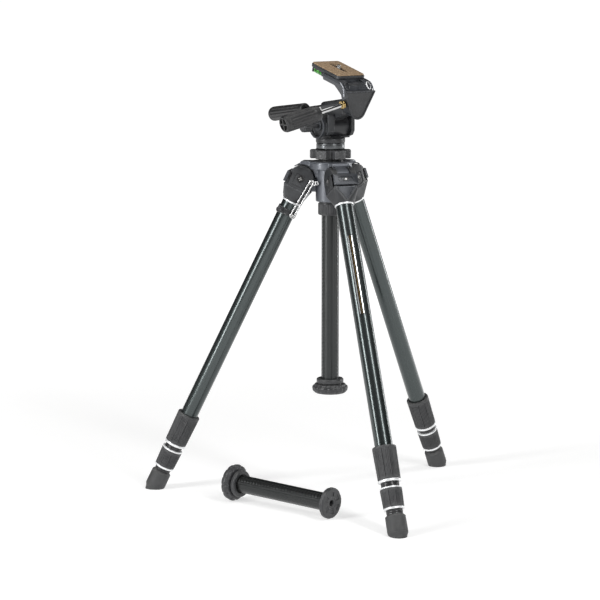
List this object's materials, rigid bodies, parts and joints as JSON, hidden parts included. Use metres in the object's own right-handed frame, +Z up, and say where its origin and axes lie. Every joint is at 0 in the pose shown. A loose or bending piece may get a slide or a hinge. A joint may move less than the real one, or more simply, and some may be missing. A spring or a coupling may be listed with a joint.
{
  "type": "camera tripod with pan head",
  "caption": "Three-legged photographic tripod with twist-lock telescoping legs, sliding centre column, three-way pan head with two handles, and a spare short column.",
  "frame": {"origin": "middle of the whole footprint on the floor, at rest", "axes": "+Z up along the centre column, -Y the way the front leg points, +X to the right seen from the front leg"},
  "size_m": [0.548, 0.4784, 0.7149],
  "materials": {
    "shoulder_paint": "satin hammered blue-grey paint",
    "head_paint": "fine-textured black paint on die casting",
    "zinc_bolt": "zinc-plated steel",
    "polished_steel": "bright chromed steel rod",
    "turned_aluminium": "turned bare aluminium",
    "leg_anodised": "glossy dark green-grey anodised",
    "section_anodised": "satin silver anodised",
    "column_anodised": "dark anodised with knurled bands",
    "lock_rubber": "ribbed rubber sleeve",
    "foot_rubber": "matte moulded rubber",
    "grip_rubber": "fluted rubber grip",
    "lock_plastic": "black moulded plastic",
    "bush_plastic": "natural acetal bush",
    "cork": "fine cork sheet",
    "brass_collar": "turned brass",
    "level_glass": "green-filled vial"
  },
  "bodies": {
    "chassis": {"shoulder": "shoulder_paint", "hip_bolts": "zinc_bolt", "column_lower_nut": "lock_plastic", "column_bush": "bush_plastic"},
    "column_lock": {"column_lock_ring": "lock_plastic"},
    "column": {"centre_column": "column_anodised", "column_foot": "lock_plastic", "column_flange": "turned_aluminium", "head_stud": "zinc_bolt"},
    "pan_body": {"pan_base": "head_paint", "tilt_pin": "zinc_bolt"},
    "pan_knob": {"pan_lock_knob": "lock_plastic"},
    "tilt_body": {"tilt_block": "head_paint", "side_pivot": "zinc_bolt"},
    "tilt_handle": {"tilt_handle_rod": "polished_steel", "tilt_handle_grip": "grip_rubber"},
    "platform_arm": {"tilt_arm": "head_paint", "arm_cover": "head_paint", "platform": "head_paint", "cork_pad": "cork", "level_holder": "lock_plastic", "level_vial": "level_glass", "rod_collar": "brass_collar"},
    "side_handle": {"side_handle_rod": "polished_steel", "side_handle_grip": "grip_rubber"},
    "screw": {"camera_screw": "zinc_bolt"},
    "screw_knob": {"camera_screw_knob": "lock_plastic"},
    "spare_column": {"spare_column_tube": "column_anodised", "spare_column_foot": "lock_plastic", "spare_column_flange": "turned_aluminium"},
    "leg_front": {"front_leg_yoke": "shoulder_paint", "front_upper_tube": "leg_anodised"},
    "tab_front": {"front_angle_tab": "lock_plastic"},
    "upper_lock_front": {"front_upper_lock": "lock_rubber", "front_upper_lock_ring": "turned_aluminium"},
    "middle_front": {"front_middle_tube": "section_anodised"},
    "lower_lock_front": {"front_lower_lock": "lock_rubber"},
    "lower_front": {"front_lower_tube": "section_anodised", "front_leg_foot": "foot_rubber"},
    "leg_right": {"right_leg_yoke": "shoulder_paint", "right_upper_tube": "leg_anodised"},
    "tab_right": {"right_angle_tab": "lock_plastic"},
    "upper_lock_right": {"right_upper_lock": "lock_rubber", "right_upper_lock_ring": "turned_aluminium"},
    "middle_right": {"right_middle_tube": "section_anodised"},
    "lower_lock_right": {"right_lower_lock": "lock_rubber"},
    "lower_right": {"right_lower_tube": "section_anodised", "right_leg_foot": "foot_rubber"},
    "leg_left": {"left_leg_yoke": "shoulder_paint", "left_upper_tube": "leg_anodised", "strap_band": "lock_plastic", "strap_link": "polished_steel"},
    "tab_left": {"left_angle_tab": "lock_plastic"},
    "upper_lock_left": {"left_upper_lock": "lock_rubber", "left_upper_lock_ring": "turned_aluminium"},
    "middle_left": {"left_middle_tube": "section_anodised"},
    "lower_lock_left": {"left_lower_lock": "lock_rubber"},
    "lower_left": {"left_lower_tube": "section_anodised", "left_leg_foot": "foot_rubber"},
    "strap_knob": {"strap_knob": "lock_plastic"}
  },
  "joints": [
    {"name": "column_lock_turn", "type": "hinge", "parent": "chassis", "child": "column_lock", "pos_m": [0, 0.07508, 0.55921], "axis": [0, 0, 1], "range_deg": [0, 90]},
    {"name": "column_lift", "type": "slide", "parent": "chassis", "child": "column", "axis": [0, 0, 1], "range_m": [0, 0.26]},
    {"name": "pan", "type": "hinge", "parent": "column", "child": "pan_body", "pos_m": [0, 0.07508, 0.61181], "axis": [0, 0, 1], "continuous": true},
    {"name": "pan_knob_turn", "type": "hinge", "parent": "pan_body", "child": "pan_knob", "pos_m": [-0.02884, 0.06681, 0.61181], "axis": [-0.9613, -0.2756, 0], "range_deg": [0, 180]},
    {"name": "tilt", "type": "hinge", "parent": "pan_body", "child": "tilt_body", "pos_m": [0, 0.07508, 0.61181], "axis": [0.9613, 0.2756, 0], "range_deg": [-50, 55]},
    {"name": "tilt_handle_turn", "type": "hinge", "parent": "tilt_body", "child": "tilt_handle", "pos_m": [0.00246, 0.0665, 0.64513], "axis": [-0.273, 0.9519, -0.1392], "range_deg": [0, 180]},
    {"name": "side_tilt", "type": "hinge", "parent": "tilt_body", "child": "platform_arm", "pos_m": [0.01446, 0.02464, 0.64537], "axis": [-0.2662, 0.9285, 0.2588], "range_deg": [-30, 90]},
    {"name": "side_handle_turn", "type": "hinge", "parent": "platform_arm", "child": "side_handle", "pos_m": [-0.00183, 0.0089, 0.65029], "axis": [-0.9485, -0.2046, -0.2418], "range_deg": [0, 180]},
    {"name": "camera_screw_slide", "type": "slide", "parent": "platform_arm", "child": "screw", "axis": [-0.2662, 0.9285, 0.2588], "range_m": [-0.016, 0.016]},
    {"name": "camera_screw_turn", "type": "hinge", "parent": "screw", "child": "screw_knob", "pos_m": [0.00525, 0.05677, 0.69833], "axis": [0.0713, -0.2488, 0.9659], "continuous": true},
    {"name": "spare_column_lift", "type": "slide", "parent": "chassis", "child": "spare_column", "axis": [0, 0, 1], "range_m": [0, 0.25]},
    {"name": "front_hip", "type": "hinge", "parent": "chassis", "child": "leg_front", "pos_m": [0, 0.02958, 0.52601], "axis": [-1, 0, 0], "range_deg": [-25.75, 44]},
    {"name": "front_angle_tab_pull", "type": "slide", "parent": "leg_front", "child": "tab_front", "axis": [0, -0.9007, 0.4344], "range_m": [0, 0.004], "stiffness_N_per_m": 600, "springref_m": -0.001},
    {"name": "front_upper_lock_turn", "type": "hinge", "parent": "leg_front", "child": "upper_lock_front", "pos_m": [0, -0.16236, 0.12808], "axis": [0, -0.4344, -0.9007], "range_deg": [0, 90]},
    {"name": "front_middle_slide", "type": "slide", "parent": "leg_front", "child": "middle_front", "axis": [0, -0.4344, -0.9007], "range_m": [0, 0.36]},
    {"name": "front_lower_lock_turn", "type": "hinge", "parent": "middle_front", "child": "lower_lock_front", "pos_m": [0, -0.19068, 0.06935], "axis": [0, -0.4344, -0.9007], "range_deg": [0, 90]},
    {"name": "front_lower_slide", "type": "slide", "parent": "middle_front", "child": "lower_front", "axis": [0, -0.4344, -0.9007], "range_m": [0, 0.36]},
    {"name": "right_hip", "type": "hinge", "parent": "chassis", "child": "leg_right", "pos_m": [0.03941, 0.09783, 0.52601], "axis": [0.5, -0.866, 0], "range_deg": [-25.75, 44]},
    {"name": "right_angle_tab_pull", "type": "slide", "parent": "leg_right", "child": "tab_right", "axis": [0.78, 0.4503, 0.4344], "range_m": [0, 0.004], "stiffness_N_per_m": 600, "springref_m": -0.001},
    {"name": "right_upper_lock_turn", "type": "hinge", "parent": "leg_right", "child": "upper_lock_right", "pos_m": [0.20563, 0.1938, 0.12808], "axis": [0.3762, 0.2172, -0.9007], "range_deg": [0, 90]},
    {"name": "right_middle_slide", "type": "slide", "parent": "leg_right", "child": "middle_right", "axis": [0.3762, 0.2172, -0.9007], "range_m": [0, 0.36]},
    {"name": "right_lower_lock_turn", "type": "hinge", "parent": "middle_right", "child": "lower_lock_right", "pos_m": [0.23016, 0.20796, 0.06935], "axis": [0.3762, 0.2172, -0.9007], "range_deg": [0, 90]},
    {"name": "right_lower_slide", "type": "slide", "parent": "middle_right", "child": "lower_right", "axis": [0.3762, 0.2172, -0.9007], "range_m": [0, 0.36]},
    {"name": "left_hip", "type": "hinge", "parent": "chassis", "child": "leg_left", "pos_m": [-0.0394, 0.09783, 0.52601], "axis": [0.5, 0.866, 0], "range_deg": [-25.75, 44]},
    {"name": "left_angle_tab_pull", "type": "slide", "parent": "leg_left", "child": "tab_left", "axis": [-0.78, 0.4503, 0.4344], "range_m": [0, 0.004], "stiffness_N_per_m": 600, "springref_m": -0.001},
    {"name": "left_upper_lock_turn", "type": "hinge", "parent": "leg_left", "child": "upper_lock_left", "pos_m": [-0.20563, 0.1938, 0.12808], "axis": [-0.3762, 0.2172, -0.9007], "range_deg": [0, 90]},
    {"name": "left_middle_slide", "type": "slide", "parent": "leg_left", "child": "middle_left", "axis": [-0.3762, 0.2172, -0.9007], "range_m": [0, 0.36]},
    {"name": "left_lower_lock_turn", "type": "hinge", "parent": "middle_left", "child": "lower_lock_left", "pos_m": [-0.23016, 0.20796, 0.06935], "axis": [-0.3762, 0.2172, -0.9007], "range_deg": [0, 90]},
    {"name": "left_lower_slide", "type": "slide", "parent": "middle_left", "child": "lower_left", "axis": [-0.3762, 0.2172, -0.9007], "range_m": [0, 0.36]},
    {"name": "strap_knob_turn", "type": "hinge", "parent": "leg_left", "child": "strap_knob", "pos_m": [-0.07878, 0.09978, 0.47631], "axis": [-0.5, -0.866, 0], "range_deg": [0, 180]}
  ]
}
